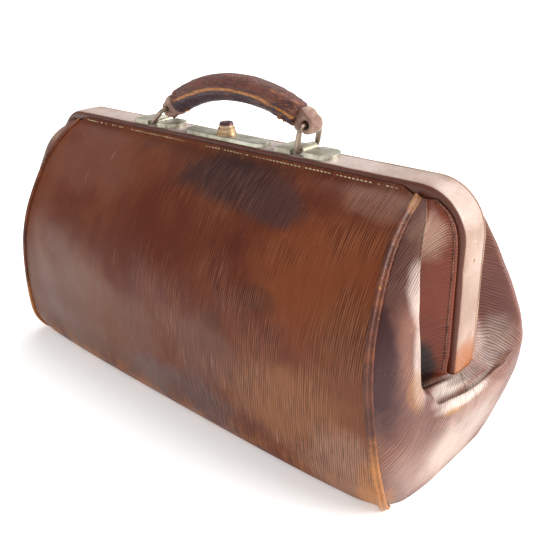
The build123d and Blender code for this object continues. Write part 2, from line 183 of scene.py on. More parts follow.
def thick_sheet(name, grid, thickness, mats, side=1.0, weights=None, extra=None, start=0.0,
                thin=None, soft_rim=True):
    # closed sheet: the outer grid, an inner copy and a rim, which can be rounded
    rows, cols = len(grid), len(grid[0])
    normals = grid_normals(grid)
    verts, uvs = [], []
    along = [[0.0] * cols for _ in range(rows)]
    across = [[0.0] * cols for _ in range(rows)]
    for i in range(rows):
        for j in range(cols):
            if j:
                across[i][j] = across[i][j - 1] + (grid[i][j] - grid[i][j - 1]).length
            if i:
                along[i][j] = along[i - 1][j] + (grid[i][j] - grid[i - 1][j]).length
    for depth in (start, start + thickness):
        for i in range(rows):
            for j in range(cols):
                part = thin[i][j] if thin else 1.0
                verts.append(grid[i][j] - normals[i][j] * side * depth * part)
                uvs.append((across[i][j] - across[i][cols // 2] + UV_SHIFT, along[i][j]))
    faces, fm = [], []
    size = rows * cols
    for i in range(rows - 1):
        for j in range(cols - 1):
            a, b = i * cols + j, i * cols + j + 1
            c, d = b + cols, a + cols
            front = (a, b, c, d) if side > 0 else (a, d, c, b)
            faces += [front, tuple(x + size for x in front[::-1])]
            fm += [0, len(mats) - 1]
    rim = list(range(cols))
    rim += [(i + 1) * cols - 1 for i in range(1, rows)]
    rim += [(rows - 1) * cols + j for j in range(cols - 2, -1, -1)]
    rim += [i * cols for i in range(rows - 2, 0, -1)]
    for a, b in zip(rim, rim[1:] + rim[:1]):
        faces.append((b, a, a + size, b + size) if side > 0 else (a, b, b + size, a + size))
        fm.append(0)
    obj = new_object(name, verts, faces, uvs, mats, fm, outward=False)
    if not soft_rim:
        for k in range(len(faces) - len(rim), len(faces)):
            obj.data.polygons[k].use_smooth = False
    if extra:
        set_turn(obj, flat(extra) * 2)
    if soft_rim:
        bevel = obj.modifiers.new("rim", "BEVEL")
        bevel.width = min(0.6, thickness * 0.3) * MM
        bevel.segments = 2
        bevel.limit_method = "ANGLE"
        bevel.angle_limit = radians(50)
    return obj, flat(weights or []) * 2


def blend_with(obj):
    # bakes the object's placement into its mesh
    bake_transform(obj)


def tube_faces(rings, around, endless=False):
    # an endless tube runs round to its own start, others have both ends closed
    faces = []
    for k in range(rings if endless else rings - 1):
        near, far = k * around, (k + 1) % rings * around
        for j in range(around):
            j2 = (j + 1) % around
            faces.append((near + j, near + j2, far + j2, far + j))
    if not endless:
        faces.append(tuple(range(around - 1, -1, -1)))
        faces.append(tuple((rings - 1) * around + j for j in range(around)))
    return faces


def set_turn(obj, values):
    # a value for each point, which the materials read
    attr = obj.data.attributes.new("turn", "FLOAT", "POINT")
    attr.data.foreach_set("value", values)


def sweep(name, path, section, mat):
    # path: (origin, side axis, up axis) at each ring; section: points (a, b) on those axes
    verts, uvs, around = [], [], [0.0]
    for (a0, b0), (a1, b1) in zip(section, section[1:]):
        around.append(around[-1] + hypot(a1 - a0, b1 - b0))
    run = 0.0
    for k, (o, sa, ub) in enumerate(path):
        if k:
            run += (o - path[k - 1][0]).length
        for (a, b), r in zip(section, around):
            verts.append(o + sa * a + ub * b)
            uvs.append((r, run))
    return new_object(name, verts, tube_faces(len(path), len(section)), uvs, [mat])


# --- shader helpers ---
class Mat:
    def __init__(self, name, rough=0.5, metallic=0.0, **inputs):
        self.mat = bpy.data.materials.new(name)
        self.mat.use_nodes = True
        self.nt = self.mat.node_tree
        self.bsdf = self.nt.nodes["Principled BSDF"]
        for key, value in {"Roughness": rough, "Metallic": metallic, **inputs}.items():
            self.bsdf.inputs[key.replace("_", " ")].default_value = value
        coords = self.node("TexCoord")
        self.obj, self.uv = coords.outputs["Object"], coords.outputs["UV"]

    def node(self, kind, coord=None, values=None, **settings):
        n = self.nt.nodes.new("ShaderNode" + kind)
        for key, value in settings.items():
            setattr(n, key, value)
        if coord is not None:
            self.nt.links.new(coord, n.inputs["Vector"])
        for key, value in (values or {}).items():
            n.inputs[key].default_value = value
        return n

    def link(self, a, b):
        if isinstance(a, (int, float)):
            b.default_value = a
        elif isinstance(a, tuple):
            b.default_value = a if len(a) == 4 or b.type == "VECTOR" else (*a, 1.0)
        else:
            self.nt.links.new(a, b)

    def scaled(self, coord, scale, rotate=(0, 0, 0)):
        return self.node("Mapping", coord, {"Scale": scale, "Rotation": rotate}).outputs["Vector"]

    def noise(self, coord, scale, detail=3.0, rough=0.5, distort=0.0):
        values = {"Scale": scale, "Detail": detail, "Roughness": rough, "Distortion": distort}
        return self.node("TexNoise", coord, values).outputs["Fac"]

    def cells(self, coord, scale, feature="DISTANCE_TO_EDGE"):
        return self.node("TexVoronoi", coord, {"Scale": scale}, feature=feature).outputs["Distance"]

    def wave(self, coord, scale, distort=1.0, detail=1.0, detail_scale=1.0, direction="X"):
        values = {"Scale": scale, "Distortion": distort, "Detail": detail,
                  "Detail Scale": detail_scale}
        return self.node("TexWave", coord, values, bands_direction=direction).outputs["Fac"]

    def range(self, value, a, b, c=0.0, d=1.0):
        values = {"From Min": a, "From Max": b, "To Min": c, "To Max": d}
        n = self.node("MapRange", None, values, interpolation_type="SMOOTHSTEP")
        self.link(value, n.inputs["Value"])
        return n.outputs["Result"]

    def blotch(self, scale, detail, a, b, rough=0.5, c=0.0, d=1.0):
        # cloudy patches over the object, cut between a and b
        return self.range(self.noise(self.obj, scale, detail, rough), a, b, c, d)

    def math(self, op, a, b=0.0):
        n = self.node("Math", operation=op)
        self.link(a, n.inputs[0])
        self.link(b, n.inputs[1])
        return n.outputs[0]

    def times(self, a, b):
        return self.math("MULTIPLY", a, b)

    def plus(self, a, b):
        return self.math("ADD", a, b)

    def most(self, a, b):
        return self.math("MAXIMUM", a, b)

    def rest(self, a):
        return self.math("SUBTRACT", 1.0, a)

    def centred(self, a):
        return self.math("SUBTRACT", a, 0.5)

    def mix(self, fac, a, b):
        n = self.node("Mix", data_type="RGBA")
        self.link(fac, n.inputs[0])
        self.link(a, n.inputs[6])
        self.link(b, n.inputs[7])
        return n.outputs[2]

    def over(self, color, code, mask, amount):
        # a hide colour laid over the rest where the mask is white
        return self.mix(self.times(mask, amount), color, hide(code))

    def patches(self, color, table, wobble=0.6, scale=26.0):
        for centre, radii, code, amount in table:
            color = self.over(color, code, self.spot(centre, radii, wobble, scale), amount)
        return color

    def attribute(self, name):
        return self.node("Attribute", attribute_name=name).outputs["Fac"]

    def axis(self, coord, which):
        return self.node("SeparateXYZ", coord).outputs[which]

    def spot(self, centre, radii, wobble=0.6, scale=26.0):
        # soft patch round a place on the object, given in millimetres
        values = {"Scale": [1000.0 / r for r in radii],
                  "Location": [-c / r for c, r in zip(centre, radii)]}
        n = self.node("Mapping", self.obj, values, vector_type="POINT")
        size = self.node("VectorMath", n.outputs[0], operation="LENGTH")
        shift = self.times(self.centred(self.noise(self.obj, scale, 7, 0.62)), 2 * wobble)
        return self.range(self.plus(size.outputs["Value"], shift), 1.05, 0.45)

    def bump(self, height, distance, strength=1.0, normal=None):
        n = self.node("Bump", None, {"Strength": strength, "Distance": distance * MM})
        self.link(height, n.inputs["Height"])
        if normal is not None:
            self.nt.links.new(normal, n.inputs["Normal"])
        return n.outputs["Normal"]

    def out(self, color=None, rough=None, normal=None, metallic=None):
        for value, key in ((color, "Base Color"), (rough, "Roughness"), (normal, "Normal"),
                           (metallic, "Metallic")):
            if value is not None:
                self.link(value, self.bsdf.inputs[key])
        return self.mat


def rgb(code):
    # display colour to the linear values the shader wants
    parts = [int(code[i:i + 2], 16) / 255 for i in (0, 2, 4)]
    return tuple(p / 12.92 if p < 0.04045 else ((p + 0.055) / 1.055) ** 2.4 for p in parts)


# --- materials ---
def hide(code):
    # a hide's own colour, without the grey that its surface shine adds
    shine, least, gain = 0.009, 0.003, 1.25
    return tuple(max(c - shine, least) * gain for c in rgb(code))


# patches over the hide: middle and reach in millimetres, colour and strength; mostly stains and
# rubbed places, with painted light and shade among them where marked
PANEL_PATCHES = [
    # the next two: greyish lower left, painted reflection of the pale floor
    ((-150, -86, 60), (105, 60, 78), "6f5347", 0.7),
    ((-60, -86, 62), (80, 60, 40), "704f42", 0.6),
    # lighter upper left: partly the hide's own tone, partly painted sheen
    ((-135, -60, 185), (80, 70, 34), "714638", 0.6),
    ((150, -70, 155), (70, 60, 60), "784026", 0.85),
    ((185, -84, 105), (34, 60, 60), "6b4028", 0.7),
    ((135, -88, 62), (70, 60, 44), "835639", 0.85),
    ((190, -86, 28), (50, 50, 40), "916b58", 0.85),
    ((48, -88, 78), (60, 50, 34), "6a483d", 0.7),
    ((20, -84, 24), (80, 50, 32), "5d4b4a", 0.75),
    ((-40, -84, 22), (60, 50, 24), "6b5247", 0.5),
    ((34, -36, 199), (64, 44, 24), "3a2726", 0.95),
    ((86, -46, 188), (40, 40, 15), "432e2d", 0.85),
    ((172, -25, 203), (46, 24, 14), "7c5749", 0.7),
    ((104, -78, 132), (22, 40, 12), "46291f", 0.55),
    ((62, -84, 104), (16, 40, 10), "4a2a22", 0.5)]
# the end walls' patches, mirrored to both ends, in the same columns; painted highlight and shade
# among them where marked
GUSSET_PATCHES = [
    # darker purple beside the seam: partly the hide's own colour, partly painted shade
    ((205, -76, 134), (30, 17, 76), "3b2427", 0.95),
    # the next two: pale pinkish lower end, partly wear and partly painted light from the right
    ((222, -30, 30), (24, 60, 42), "a3857a", 0.55),
    ((222, 0, 30), (28, 54, 42), "b3a195", 0.75),
    ((224, -48, 66), (16, 26, 30), "6e4a40", 0.6),
    ((232, 6, 62), (16, 46, 12), "a78779", 0.6),
    # the next two: painted highlight along the front fold's ridge
    ((214, -50, 162), (8, 9, 46), "c2aca3", 0.85),
    ((221, -52, 112), (8, 8, 38), "b8a49a", 0.75),
    ((222, -56, 94), (9, 9, 18), "9a6c42", 0.5),
    ((229, -22, 68), (9, 14, 5), "b9853f", 0.5),
    # painted highlight along the crest of the rolled lip
    ((232, -6, 72), (7, 40, 6), "c9b9ae", 0.9),
    ((226, -14, 78), (12, 30, 8), "cdbdb2", 0.7),
    ((224, 6, 79), (9, 26, 5), "5e4840", 0.7),
    # paler top of the inner strip near the corner: painted light
    ((206, -26, 188), (16, 18, 20), "a98672", 0.9),
    # the next two: painted shade deep in the pocket behind the fold
    ((201, -38, 100), (11, 8, 44), "1c1110", 0.85),
    ((207, -29, 96), (14, 15, 23), "140b0a", 0.97),
    ((209, -72, 10), (12, 14, 24), "a9713f", 0.6),
    ((228, 45, 130), (22, 26, 36), "704a44", 0.7),
    ((228, 34, 96), (18, 24, 22), "a8948a", 0.7),
    ((230, 34, 84), (8, 19, 5), "4a3633", 0.55)]


def make_panel_leather():
    m = Mat("panel_leather", rough=0.42, Specular_IOR_Level=0.22)
    mid = m.noise(m.scaled(m.obj, (26, 9, 9)), 1.0, 5, 0.6)
    color = m.mix(m.blotch(9, 4, 0.36, 0.62, 0.6), hide("592a1b"), hide("6e3a22"))
    color = m.mix(m.range(mid, 0.42, 0.7, 0, 0.4), color, hide("431f17"))
    color = m.patches(color, PANEL_PATCHES)
    edge = m.times(m.range(m.axis(m.obj, 2), 0.03, 0.003), m.blotch(70, 4, 0.4, 0.62))
    color = m.over(color, "a5642e", edge, 0.5)
    corner = m.spot((206, -78, 14), (16, 30, 34), 0.6, 60)
    color = m.over(color, "b0743c", corner, 0.6)
    fine = m.noise(m.scaled(m.uv, (1 / 0.0015, 1 / 0.026, 1)), 1.0, 2.5, 0.55, 0.35)
    ribs = m.wave(m.scaled(m.uv, (1, 0.1, 1)), 172, 3.6, 3, 1.6)
    worn = m.blotch(17, 4, 0.42, 0.6, 0.6)
    where = m.range(m.axis(m.obj, 0), -0.12, 0.09, 0.12, 1.0)
    depth = m.times(m.plus(m.times(worn, 0.75), 0.25), where)
    grain = m.plus(m.times(fine, 0.82), m.times(ribs, 0.32))
    dark = m.times(m.range(grain, 0.6, 0.42), m.times(depth, 0.62))
    color = m.mix(dark, color, hide("33180f"))
    pale = m.times(m.range(grain, 0.6, 0.76), m.times(depth, 0.24))
    color = m.mix(pale, color, hide("b07a5c"))
    scuffs = m.range(m.noise(m.scaled(m.obj, (60, 60, 200)), 1.0, 6, 0.7), 0.64, 0.78)
    color = m.over(color, "a0683f", scuffs, 0.4)
    lines = m.range(m.noise(m.scaled(m.obj, (420, 40, 22), (0, 0.5, 0)), 1.0, 2), 0.71, 0.76)
    color = m.mix(m.times(lines, m.times(m.blotch(13, 2, 0.52, 0.6), 0.45)),
                  color, hide("ad8474"))
    specks = m.range(m.cells(m.obj, 95, "F1"), 0.1, 0.04)
    color = m.over(color, "2a1714", specks, 0.35)
    rough = m.blotch(22, 5, 0.3, 0.75, 0.5, 0.36, 0.56)
    n1 = m.bump(m.times(grain, depth), 0.45, 0.75)
    n2 = m.bump(m.noise(m.obj, 900, 3), 0.12, 0.5, n1)
    n3 = m.bump(m.noise(m.obj, 28, 4), 1.6, 0.35, n2)
    return m.out(color, rough, n3)


def make_gusset_leather(name, tilt, red):
    m = Mat(name, rough=0.38, Specular_IOR_Level=0.36)
    inner = m.range(m.attribute("turn"), 0.3, 0.7)
    color = m.mix(m.blotch(16, 4, 0.35, 0.62, 0.6), hide("5f403a"), hide("7a5447"))
    color = m.mix(m.times(inner, red), color, hide("6a2e18"))
    for side in (-1, 1):
        color = m.patches(color, [((side * x, y, z), *rest) for (x, y, z), *rest in GUSSET_PATCHES])
    # ribs: the low end wall is ruled straight through, the folds along their own sheet
    slant = m.scaled(m.obj, (1, 1, 1), (radians(38), 0, 0))
    ribs_low = m.wave(m.scaled(slant, (0.12, 1, 0.12)), 168, 4.0, 3, 1.5, direction="Y")
    fine_low = m.noise(m.scaled(slant, (1 / 0.018, 1 / 0.0016, 1 / 0.018)), 1.0, 2.5, 0.55, 0.4)
    lean = m.scaled(m.uv, (1, 1, 1), (0, 0, radians(40)))
    ribs_high = m.wave(m.scaled(lean, (1, 0.12, 1)), 168, 4.2, 3, 1.5)
    fine_high = m.noise(m.scaled(lean, (1 / 0.0016, 1 / 0.018, 1)), 1.0, 2.5, 0.55, 0.4)
    low = m.range(m.axis(m.obj, 2), 0.082, 0.062)
    high = m.rest(low)
    ribs_a = m.plus(m.times(ribs_low, low), m.times(ribs_high, high))
    fine_a = m.plus(m.times(fine_low, low), m.times(fine_high, high))
    fan = m.scaled(m.uv, (1, 1, 1), (0, 0, -radians(tilt)))
    ribs_b = m.wave(m.scaled(fan, (0.12, 1, 1)), 158, 4.0, 3, 1.5, direction="Y")
    fine_b = m.noise(m.scaled(fan, (1 / 0.018, 1 / 0.0016, 1)), 1.0, 2.5, 0.55, 0.4)
    along = m.plus(m.times(ribs_a, 0.45), m.times(fine_a, 0.6))
    across = m.plus(m.times(ribs_b, 0.5), m.times(fine_b, 0.55))
    grain = m.plus(m.times(across, inner), m.times(along, m.rest(inner)))
    worn = m.blotch(20, 3, 0.36, 0.6, 0.5, 0.35, 1.0)
    bare = m.spot((204, -72, 120), (24, 16, 110), 0.3)
    bare = m.most(bare, m.spot((-204, -72, 120), (24, 16, 110), 0.3))
    worn = m.times(worn, m.rest(m.times(bare, 0.75)))
    outer = m.rest(m.times(inner, 0.75))
    color = m.mix(m.times(m.range(grain, 0.6, 0.36), m.times(worn, 0.5)),
                  color, hide("3a211e"))
    color = m.mix(m.times(m.range(grain, 0.62, 0.85), m.times(worn, m.times(outer, 0.22))),
                  color, hide("b49485"))
    scuffs = m.times(m.blotch(60, 6, 0.62, 0.76, 0.7), outer)
    color = m.over(color, "b88c68", scuffs, 0.35)
    rough = m.blotch(30, 5, 0.3, 0.75, 0.5, 0.31, 0.48)
    n1 = m.bump(m.times(grain, worn), 0.5, 0.8)
    n2 = m.bump(m.noise(m.obj, 850, 3), 0.12, 0.5, n1)
    n3 = m.bump(m.noise(m.obj, 34, 4), 1.4, 0.35, n2)
    return m.out(color, rough, n3)


def make_smooth_leather(name, light, dark, worn, scale=30.0, grain=0.5, rough=(0.34, 0.5),
                        spots=(), face=None):
    m = Mat(name, rough=0.4, Specular_IOR_Level=0.4)
    color = m.mix(m.blotch(scale, 5, 0.34, 0.64, 0.6), hide(light), hide(dark))
    color = m.patches(color, spots, 0.5, 60)
    pores = m.cells(m.obj, 900, "F1")
    creases = m.cells(m.scaled(m.obj, (1, 0.45, 1)), 210)
    color = m.mix(m.range(creases, 0.05, 0.0, 0, 0.3), color, hide(dark))
    scuffs = m.blotch(85, 6, 0.6, 0.74, 0.7)
    color = m.over(color, worn, scuffs, 0.5)
    if face:
        # a darker front face, with an uneven boundary
        y, code = face
        shift = m.times(m.centred(m.noise(m.obj, 60, 4)), 0.0016)
        front = m.range(m.plus(m.axis(m.obj, 1), shift), (y + 0.5) * MM, (y - 0.3) * MM)
        color = m.over(color, code, front, 0.93)
    rr = m.blotch(40, 5, 0.3, 0.75, 0.5, *rough)
    n1 = m.bump(pores, 0.12, grain)
    n2 = m.bump(m.range(creases, 0.0, 0.08), 0.2, grain, n1)
    n3 = m.bump(m.noise(m.obj, 60, 5), 0.7, 0.3, n2)
    return m.out(color, rr, n3)


def make_handle_leather():
    m = Mat("handle_leather", rough=0.45, Specular_IOR_Level=0.5)
    streak = m.noise(m.scaled(m.obj, (28, 150, 150)), 1.0, 6, 0.65)
    color = m.mix(m.range(streak, 0.38, 0.62), hide("472624"), hide("6c3f33"))
    turn = m.attribute("turn")
    wander = m.times(m.centred(m.noise(m.scaled(m.obj, (40, 90, 90)), 1.0, 5)), 0.06)
    at = m.plus(turn, wander)
    under = m.times(m.range(at, 0.265, 0.285), m.range(at, 0.8, 0.7))
    color = m.over(color, "332a33", under, 0.85)
    line = m.times(m.range(at, 0.225, 0.24), m.range(at, 0.275, 0.26))
    broken = m.range(m.noise(m.scaled(m.obj, (30, 60, 60)), 1.0, 4), 0.4, 0.52)
    color = m.mix(m.times(line, m.times(broken, 0.85)), color, hide("a9713d"))
    cracks = m.cells(m.scaled(m.obj, (0.55, 1.4, 1.4)), 190)
    cracked = m.blotch(36, 4, 0.46, 0.6)
    ends = m.range(m.axis(m.obj, 0), 0.03, 0.072)
    ends = m.most(ends, m.range(m.axis(m.obj, 0), -0.04, -0.066))
    amount = m.most(m.times(cracked, 0.25), m.times(ends, 0.85))
    fray = m.noise(m.scaled(m.obj, (60, 330, 330)), 1.0, 7, 0.75)
    color = m.mix(m.times(m.range(fray, 0.53, 0.64), amount), color, hide("a5642f"))
    color = m.over(color, "1f0f10", m.range(cracks, 0.06, 0.0), 0.5)
    shine = m.blotch(50, 5, 0.3, 0.7, 0.5, 0.33, 0.58)
    n1 = m.bump(m.range(cracks, 0.0, 0.1), 0.5, 0.6)
    n2 = m.bump(m.times(fray, m.plus(amount, 0.25)), 1.3, 0.8, n1)
    n3 = m.bump(m.noise(m.scaled(m.obj, (200, 700, 700)), 1.0, 4), 0.4, 0.6, n2)
    return m.out(color, shine, n3)


def make_frayed():
    m = Mat("frayed_hide", rough=0.8, Specular_IOR_Level=0.25)
    color = m.mix(m.blotch(240, 6, 0.35, 0.65, 0.7), rgb("6b3417"), rgb("c07a3c"))
    return m.out(color, None, m.bump(m.noise(m.scaled(m.obj, (400, 900, 900)), 1.0, 6), 0.6, 0.9))


def make_metal(name, light, dark, rough=(0.3, 0.5), brush=(1, 12, 12), tarnish="4a443a",
               amount=0.45, rubbed=None):
    m = Mat(name, rough=0.4, metallic=0.85)
    color = m.mix(m.blotch(55, 5, 0.35, 0.65, 0.6), rgb(light), rgb(dark))
    stain = m.blotch(130, 6, 0.5, 0.68, 0.7)
    color = m.mix(m.times(stain, amount), color, rgb(tarnish))
    pits = m.range(m.cells(m.obj, 700, "F1"), 0.22, 0.08)
    color = m.mix(m.times(pits, 0.4), color, rgb(tarnish))
    if rubbed:
        # worn back to pale metal below one height
        height, code = rubbed
        below = m.range(m.axis(m.obj, 2), (height + 0.4) * MM, (height - 0.4) * MM)
        color = m.mix(below, color, rgb(code))
    lines = m.noise(m.scaled(m.obj, tuple(150 * b for b in brush)), 1.0, 4)
    rr = m.blotch(90, 5, 0.3, 0.7, 0.5, *rough)
    metallic = m.range(stain, 0, 1, 0.9, 0.6)
    n1 = m.bump(lines, 0.06, 0.35)
    n2 = m.bump(m.noise(m.obj, 120, 5), 0.25, 0.35, n1)
    return m.out(color, m.plus(rr, m.times(stain, 0.15)), n2, metallic)


def make_cloth(name, light, dark):
    m = Mat(name, rough=0.9, Sheen_Weight=0.2)
    warp = m.wave(m.obj, 520, 0.6, 1, 2)
    weft = m.wave(m.obj, 520, 0.6, 1, 2, direction="Z")
    weave = m.times(warp, weft)
    color = m.mix(m.blotch(18, 5, 0.35, 0.65), rgb(light), rgb(dark))
    color = m.mix(m.times(weave, 0.3), color, rgb(dark))
    return m.out(color, None, m.bump(weave, 0.25, 0.6))


def make_board():
    m = Mat("pressed_board", rough=0.85)
    color = m.mix(m.noise(m.obj, 320, 5, 0.7), rgb("6f5a41"), rgb("947a59"))
    return m.out(color, None, m.bump(m.noise(m.obj, 600, 4), 0.3, 0.5))


def make_thread(name, light, dark):
    m = Mat(name, rough=0.8)
    twist = m.wave(m.scaled(m.obj, (1, 0.3, 1)), 900, 0.5, 1, 1, direction="DIAGONAL")
    color = m.mix(m.blotch(110, 4, 0.4, 0.62), rgb(light), rgb(dark))
    return m.out(color, None, m.bump(twist, 0.15, 0.6))


PANEL = make_panel_leather()
GUSSET = {True: make_gusset_leather("gusset_leather_front", 15, 0.95),
          False: make_gusset_leather("gusset_leather_back", 36, 0.3)}
WELT = make_smooth_leather("welt_leather", "71402a", "4a2a22", "b8773c", 60, 0.6, spots=(
    ((208, -76, 20), (22, 30, 60), "ac7340", 0.7), ((192, -20, 207), (12, 12, 12), "9a6a44", 0.6),
    ((-208, -76, 20), (22, 30, 60), "b8773c", 0.7), ((208, 76, 20), (22, 30, 50), "b8773c", 0.7)))
BAND = make_smooth_leather("band_leather", "a68c7e", "8f7466", "c0a795", 26, 0.35, (0.25, 0.38), (
    # first spot here: painted sheen, the band's top paler and greyer
    ((0, 0, 217), (230, 30, 12), "b0a19b", 0.8), ((212, 0, 206), (22, 30, 20), "b5a298", 0.8),
    ((226, 0, 86), (16, 34, 30), "8f5227", 0.9), ((-226, 0, 86), (16, 34, 30), "8f5227", 0.8)),
    face=(-12.0, "55291b"))
BACK_BAND = make_smooth_leather("back_band_leather", "b39684", "8d6b58", "c4a891", 40, 0.35,
                                (0.27, 0.4))
HANDLE = make_handle_leather()
LOOP = make_smooth_leather("loop_leather", "a58a79", "74564a", "cdb09a", 60, 0.9, (0.36, 0.55))
FRAYED = make_frayed()
BASE = make_smooth_leather("base_leather", "5b3526", "41261d", "8d6340", 30, 0.8, (0.5, 0.7))
LINING = make_cloth("lining_cloth", "8a7a5e", "6d5f48")
BOARD = make_board()
PALE_THREAD = make_thread("pale_thread", "d8c29a", "a5855c")
NICKEL = make_metal("aged_nickel", "c2beae", "a19b88", (0.34, 0.5), (12, 1, 12), "6d6250", 0.45)
RING = make_metal("ring_metal", "b09c8e", "8b786b", (0.34, 0.5), (4, 4, 4), "5b483c", 0.55)
STEEL = make_metal("frame_steel", "6f6c66", "55514b", (0.4, 0.6), (12, 4, 4), "3a2f27", 0.5)
BRASS = make_metal("worn_brass", "cdb394", "b2906c", (0.34, 0.5), (4, 4, 4), "7d5a3c", 0.45)
BUTTON = make_metal("dark_brass", "7a565a", "4c3236", (0.3, 0.45), (4, 4, 4), "2b1c1e", 0.6,
                    rubbed=(228.2, "bfa284"))
WIRE = make_metal("spring_wire", "8f8f8c", "6d6d6a", (0.3, 0.4), (4, 4, 4))


def dress(node, mat, bevel):
    # gives a carried-over node its material and, if asked, softened edges
    obj = NODES[node]
    obj.data.materials.clear()
    obj.data.materials.append(mat)
    if bevel:
        b = obj.modifiers.new("soft_edges", "BEVEL")
        b.width = bevel * MM
        b.segments = 2
        b.limit_method = "ANGLE"
        b.angle_limit = radians(40)


for node_name, node_mat, node_bevel in (
        ("base_board", BOARD, 0.3), ("end_stay_right", STEEL, 0.25), ("end_stay_left", STEEL, 0.25),
        ("hinge_pin_right", STEEL, 0), ("hinge_pin_left", STEEL, 0),
        ("front_jaw_frame", STEEL, 0.25), ("back_jaw_frame", STEEL, 0.25),
        ("cover_tacks", BUTTON, 0.15), ("catch_tongue", STEEL, 0), ("lock_case", STEEL, 0.2),
        ("lock_plate", NICKEL, 0.12), ("button_collar", BRASS, 0.15), ("lock_button", BUTTON, 0.3),
        ("latch_bolt", BRASS, 0),
        ("handle_plate_left", NICKEL, 0.5), ("handle_plate_right", NICKEL, 0.5),
        ("handle_core", BOARD, 0)):
    dress(node_name, node_mat, node_bevel)


# --- front and back walls ---
WALL_END_GAP = 2.3


def swell(u, z):
    # how far the front and back leather stands out: the filled body and the foot
    full = 3.4 * (1 - abs(u) ** 2.6) * (1 - smooth((z - 110) / 85))
    foot = 2.6 * (1 - abs(u) ** 5) * smooth((34 - z) / 34)
    return full, foot - tuck(z) * smooth((abs(u) - 0.9) / 0.1)


def wall_grid(side, cols=160, rows=100):
    # the outer surface of the front or back leather, from the floor to over the frame
    rim = OUTLINE[:-1] + [(16.6, 208.6), (15.5, 211.2), (14.9, 213.3)]
    run = even_run([Vector((0, y, z)) for y, z in rim], rows)
    grid = []
    for p in run:
        line = []
        for j in range(cols):
            u = 2.0 * j / (cols - 1) - 1.0
            x = u * (seam_x(p.z) - WALL_END_GAP)
            # dents fade towards the seams, the frame and the floor
            fade = smooth((1 - abs(u)) * 9) * smooth((205 - p.z) / 22) * smooth(p.z / 18)
            dent = 1.9 * hill(x, p.y, p.z, 85, 3.1 * side) + 0.8 * hill(x, p.y, p.z, 34, 1.7 * side)
            # one broad hollow below the lock
            sag = 2.2 * exp(-((x - 5) / 60) ** 2 - ((p.z - 176) / 26) ** 2)
            full, foot = swell(u, p.z)
            out = (dent - 0.6 - sag) * fade + full
            # higher up the leather leans in, and swells upwards as well
            steep = smooth((p.z - 120) / 70)
            y = p.y + out * (1 - 0.6 * steep) + foot
            z = p.z + out * 0.7 * steep
            z -= max(0.0, z - 208.8) * (1 - smooth((1 - abs(u)) * 16))
            line.append(Vector((x, side * y, z)))
        grid.append(line)
    return grid


for wall_name, jaw, side in (("front", "front_jaw", -1), ("back", "back_jaw", 1)):
    grid = wall_grid(side)
    weights = [[wall_weight(p.z) for p in line] for line in grid]
    turn = -side
    obj, w = thick_sheet(wall_name + "_panel_leather", grid, 2.4, [PANEL], turn, weights)
    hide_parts(wall_name + "_panel")
    blend_with(obj)
    keep = [line[4:-4] for line in grid[8:-7]]
    weights = [[wall_weight(p.z) for p in line] for line in keep]
    obj, w = thick_sheet(wall_name + "_lining_cloth", keep, 0.9, [LINING], turn, weights, start=2.8)
    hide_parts(wall_name + "_lining")
    blend_with(obj)


# --- base ---
BASE_CORNER = 16.0


def wall_foot(x, z):
    # the depth of the front and back leather just above the floor
    full, foot = swell(min(abs(x) / (seam_x(z) - WALL_END_GAP), 1.0), z)
    return lerp(OUTLINE[0][0], OUTLINE[1][0], z / OUTLINE[1][1]) + full + foot


def base_sheet(name, half_x, inset, low, thickness, mat, node, wrinkle):
    # a flat sheet whose long edges follow the foot of the front and back leather
    nominal_y, rim = 70.0, 12
    grid = []
    for i in range(40):
        v = lerp(-1.0, 1.0, i / 39)
        past = max(0.0, (abs(v) - 1) * nominal_y + BASE_CORNER)
        row_x = half_x - BASE_CORNER + sqrt(max(BASE_CORNER ** 2 - past ** 2, 0.0))
        line = []
        for j in range(90):
            x = lerp(-row_x, row_x, j / 89)
            y = v * (wall_foot(x, low + thickness / 2) - inset)
            inner = smooth((1 - abs(v)) * nominal_y / rim) * smooth((half_x - abs(x)) / rim)
            z = low + thickness + inner * wrinkle * hill(x, y, 0, 45, 4.0)
            line.append(Vector((x, y, z)))
        grid.append(line)
    obj = thick_sheet(name, grid, thickness, [mat])[0]
    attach(obj, "bag")
    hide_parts(node)


base_sheet("bottom_leather", 214.2, 1.2, 0.0, 2.4, BASE, "bottom_panel", 0.15)
base_sheet("base_cloth", 212.0, 2.7, 5.9, 1.0, LINING, "base_lining", 0.25)


# --- gussets: folded end walls ---
# guide lines up the right-hand gusset as (out, depth, height): at the seam, along
# the outer fold, just behind it, down the inner valley and along the frame's edge;
# points 5 to 10 of each carry the rolled lip, the groove behind it and the pocket
SEAM_Z = [0, 15, 33, 50, 62, 69, 74, 78, 82, 86, 91, 98, 110, 128, 148, 168, 186, 198, 208]
FOLD_RUN = {
    True: [
        (216, 50, 0), (220.3, 53, 15), (224, 55.5, 33), (225.8, 56.5, 50), (225.8, 56, 62),
        (225.2, 55, 69), (224.6, 54.5, 75), (223.9, 54, 81), (223.1, 53.3, 87), (222.1, 52.5, 94),
        (221.3, 51.5, 102), (220.6, 51, 110), (220, 50.8, 118), (218.6, 50.5, 130),
        (217.2, 50, 148), (215.2, 48, 166), (211.5, 41.5, 186), (206, 31, 199.5),
        (195.5, 16.4, 208.4)],
    False: [
        (218, 50, 0), (222.5, 54, 15), (228, 57, 33), (233, 58.5, 50), (236.5, 58, 62),
        (238.3, 57, 70), (239.6, 56.5, 77), (240, 56, 83), (240.3, 55.8, 89), (240.2, 55.5, 95),
        (239.7, 55, 101), (238.6, 54.5, 108), (236.2, 54, 115), (230.8, 53, 129),
        (221.5, 52, 148), (214, 49.5, 166), (207.5, 42.5, 185), (203, 33, 197),
        (195.5, 16.4, 208.4)]}
